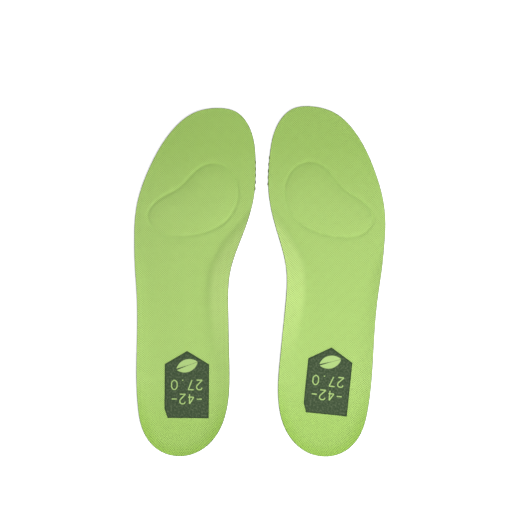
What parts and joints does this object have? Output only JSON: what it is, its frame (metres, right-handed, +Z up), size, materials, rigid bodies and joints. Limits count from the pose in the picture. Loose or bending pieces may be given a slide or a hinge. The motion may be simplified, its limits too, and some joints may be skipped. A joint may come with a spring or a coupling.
{
  "type": "pair of cushioned insoles",
  "caption": "Pair of contoured boot insoles with a cupped heel, raised arch, forefoot pad and knitted top cloth; the toes bend up.",
  "frame": {"origin": "centre of the pair's footprint, on the surface the insoles lie on", "axes": "+Z up, +Y from the heels to the toes along the left insole, +X from the left insole to the right one"},
  "size_m": [0.1992, 0.2768, 0.019],
  "materials": {
    "lime_knit": "knitted mesh",
    "soft_foam": "soft open-cell foam",
    "footbed_foam": "moulded foam, matt",
    "pad_foam": "soft moulded foam",
    "heel_gel": "soft gel, satin",
    "label_cloth": "woven",
    "label_print": "printed"
  },
  "bodies": {
    "left_rear": {"left_arch_pad": "pad_foam", "left_footbed_rear": "footbed_foam", "left_forefoot_pad_rear": "pad_foam", "left_heel_label": "label_cloth", "left_heel_pad": "heel_gel", "left_leaf_mark": "label_print", "left_size_marks": "label_print", "left_soft_layer_rear": "soft_foam", "left_top_cloth_rear": "lime_knit"},
    "left_front": {"left_footbed_front": "footbed_foam", "left_forefoot_pad_front": "pad_foam", "left_soft_layer_front": "soft_foam", "left_top_cloth_front": "lime_knit"},
    "right_rear": {"right_arch_pad": "pad_foam", "right_footbed_rear": "footbed_foam", "right_forefoot_pad_rear": "pad_foam", "right_heel_label": "label_cloth", "right_heel_pad": "heel_gel", "right_leaf_mark": "label_print", "right_size_marks": "label_print", "right_soft_layer_rear": "soft_foam", "right_top_cloth_rear": "lime_knit"},
    "right_front": {"right_footbed_front": "footbed_foam", "right_forefoot_pad_front": "pad_foam", "right_soft_layer_front": "soft_foam", "right_top_cloth_front": "lime_knit"}
  },
  "joints": [
    {"name": "left_toe_flex", "type": "hinge", "parent": "left_rear", "child": "left_front", "pos_m": [-0.05132, 0.05002, 0.00724], "axis": [0.9695, 0.2449, 0], "range_deg": [0, 60], "stiffness_Nm_per_rad": 0.25},
    {"name": "right_lift", "type": "slide", "parent": "left_rear", "child": "right_rear", "axis": [0, 0, 1], "range_m": [0, 0.08]},
    {"name": "right_toe_flex", "type": "hinge", "parent": "right_rear", "child": "right_front", "pos_m": [0.05206, 0.05018, 0.00724], "axis": [0.9473, -0.3203, 0], "range_deg": [0, 60], "stiffness_Nm_per_rad": 0.25}
  ]
}
